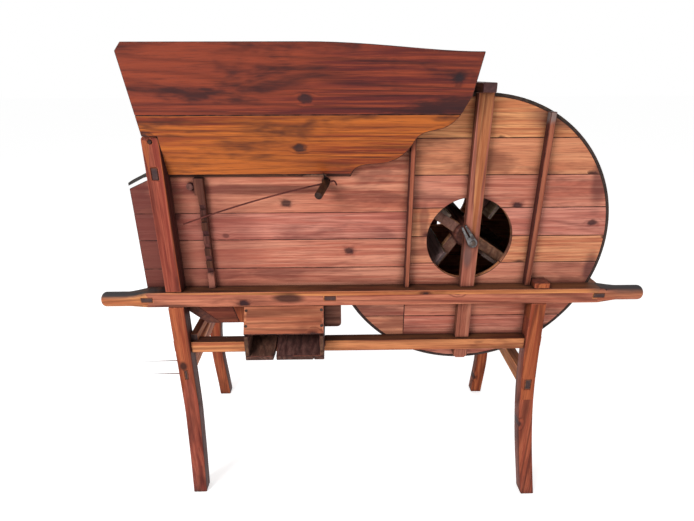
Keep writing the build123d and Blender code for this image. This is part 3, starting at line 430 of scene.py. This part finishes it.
def join_planks(obj, seams):
    """Joins the faces of each plank to each other, and leaves neighbouring planks apart."""
    group = bpy.data.node_groups.new("join_" + obj.name, "GeometryNodeTree")
    for way in ("INPUT", "OUTPUT"):
        group.interface.new_socket("Geometry", in_out=way, socket_type="NodeSocketGeometry")
    new, link = group.nodes.new, group.links.new

    def reckon(operation, first, second):
        node = new("ShaderNodeMath")
        node.operation = operation
        for socket, value in zip(node.inputs, (first, second)):
            if isinstance(value, bpy.types.NodeSocket):
                link(value, socket)
            else:
                socket.default_value = value
        return node.outputs[0]

    def upright_part(kind):
        split = new("ShaderNodeSeparateXYZ")
        link(new(kind).outputs[0], split.inputs[0])
        return split.outputs[2]

    height = upright_part("GeometryNodeInputPosition")
    lean = upright_part("GeometryNodeInputNormal")
    # A face counts by its own middle, and a level face on a seam by the side it looks to
    by_face = new("GeometryNodeFieldOnDomain")
    by_face.data_type, by_face.domain = "FLOAT", "FACE"
    link(reckon("SUBTRACT", height, reckon("MULTIPLY", lean, SEAM_MARGIN)), by_face.inputs[0])
    plank = 0.0
    for seam in seams:
        plank = reckon("ADD", plank, reckon("GREATER_THAN", by_face.outputs[0], seam))
    odd = reckon("MODULO", plank, 2.0)
    geometry = new("NodeGroupInput").outputs[0]
    for side in ("GREATER_THAN", "LESS_THAN"):
        merge = new("GeometryNodeMergeByDistance")
        link(geometry, merge.inputs["Geometry"])
        link(reckon(side, odd, 0.5), merge.inputs["Selection"])
        merge.inputs["Distance"].default_value = WELD_DISTANCE
        geometry = merge.outputs[0]
    link(geometry, new("NodeGroupOutput").inputs[0])
    obj.modifiers.new("planks", "NODES").node_group = group


def dress(name, obj):
    """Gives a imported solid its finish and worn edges, with its shape as it is."""
    dirty = name.startswith(DIRTY_EDGED)
    obj.data.materials.clear()
    obj.data.materials.append(FINISH[name])
    if dirty:
        obj.data.materials.append(WORN_EDGE)
    seams = by_stem(PLANK_SEAMS, name)
    if seams:
        join_planks(obj, seams)
    else:
        obj.modifiers.new("joined", "WELD").merge_threshold = WELD_DISTANCE
    flat = obj.modifiers.new("flat_faces", "DECIMATE")
    flat.decimate_type = "DISSOLVE"
    flat.angle_limit = FLAT_ANGLE
    if name.endswith("_nails"):
        return
    edge = obj.modifiers.new("worn_edges", "BEVEL")
    edge.width = by_stem(EDGE, name, SMALL_EDGE)
    edge.segments = EDGE_SEGMENTS
    edge.limit_method = "ANGLE"
    edge.angle_limit = SHARP_ANGLE
    edge.harden_normals = True
    edge.use_clamp_overlap = name.startswith(FINELY_CUT)
    if dirty:
        edge.material = 1


for name, obj in nodes.items():
    dress(name, obj)

# A white floor, a little brighter to the camera than its light makes it
FLOOR_SIZE = 60.0
FLOOR_GLOW = 0.56
SKY_GLOW = 0.50
bpy.ops.mesh.primitive_plane_add(size=FLOOR_SIZE, location=(0.0, 0.0, 0.0))
floor = bpy.context.object
floor.name = "studio_floor"
ground = Tree("studio_floor")
ray = ground.add("ShaderNodeLightPath")
seen = ground.math("MAXIMUM", ray.outputs["Is Camera Ray"], ray.outputs["Is Glossy Ray"])
ground.surface(Base_Color=(0.86, 0.86, 0.86), Roughness=0.9, Specular_IOR_Level=0.0,
               Emission_Color=(1.0, 1.0, 1.0), Emission_Strength=ground.times(seen, FLOOR_GLOW))
floor.data.materials.append(ground.material)

# The sky is white where it is seen, and half as bright where it lights the mill
world = bpy.data.worlds.new("studio")
bpy.context.scene.world = world
world.use_nodes = True
sky = world.node_tree
sky.nodes.clear()
path = sky.nodes.new("ShaderNodeLightPath")
direct = sky.nodes.new("ShaderNodeMath")
clear = sky.nodes.new("ShaderNodeMath")
direct.operation = clear.operation = "MAXIMUM"
sky.links.new(path.outputs["Is Camera Ray"], direct.inputs[0])
sky.links.new(path.outputs["Is Transmission Ray"], direct.inputs[1])
sky.links.new(direct.outputs[0], clear.inputs[0])
clear.inputs[1].default_value = SKY_GLOW
shine = sky.nodes.new("ShaderNodeBackground")
shine.inputs[0].default_value = (1.0, 1.0, 1.0, 1.0)
sky.links.new(clear.outputs[0], shine.inputs[1])
sky.links.new(shine.outputs[0], sky.nodes.new("ShaderNodeOutputWorld").inputs[0])


def lamp(name, power, size, place, target):
    light = bpy.data.lights.new(name, "AREA")
    light.energy, light.size = power, size
    obj = bpy.data.objects.new(name, light)
    bpy.context.collection.objects.link(obj)
    obj.location = place
    aim = Vector(target) - Vector(place)
    obj.rotation_euler = aim.to_track_quat("-Z", "Y").to_euler()


lamp("key", 108.0, 1.6, (-2.4, -3.0, 3.0), (0.0, 0.0, 0.9))
lamp("fill", 16.0, 2.6, (2.2, -3.2, 1.6), (0.1, 0.0, 0.9))
lamp("back", 30.0, 2.6, (0.5, 3.0, 3.2), (0.0, 0.0, 0.8))

# The camera stands where the photograph was taken
PHOTO_WIDTH, FOCAL_LENGTH = 694.0, 463.0  # in the photograph's pixels
SENSOR_WIDTH = 36.0
CAMERA_PLACE = (-0.1015, -1.5252, 1.3837)
PITCH, YAW, ROLL = math.radians(21.97), math.radians(0.98), math.radians(-0.18)
lens = bpy.data.cameras.new("camera")
lens.sensor_width = SENSOR_WIDTH
lens.lens = FOCAL_LENGTH / PHOTO_WIDTH * SENSOR_WIDTH
camera = bpy.data.objects.new("camera", lens)
bpy.context.collection.objects.link(camera)
turn = (Matrix.Rotation(-YAW, 4, "Z") @ Matrix.Rotation(math.pi / 2 - PITCH, 4, "X")
        @ Matrix.Rotation(ROLL, 4, "Z"))
camera.matrix_world = Matrix.Translation(CAMERA_PLACE) @ turn
bpy.context.scene.camera = camera
bpy.context.scene.view_settings.view_transform = "Standard"
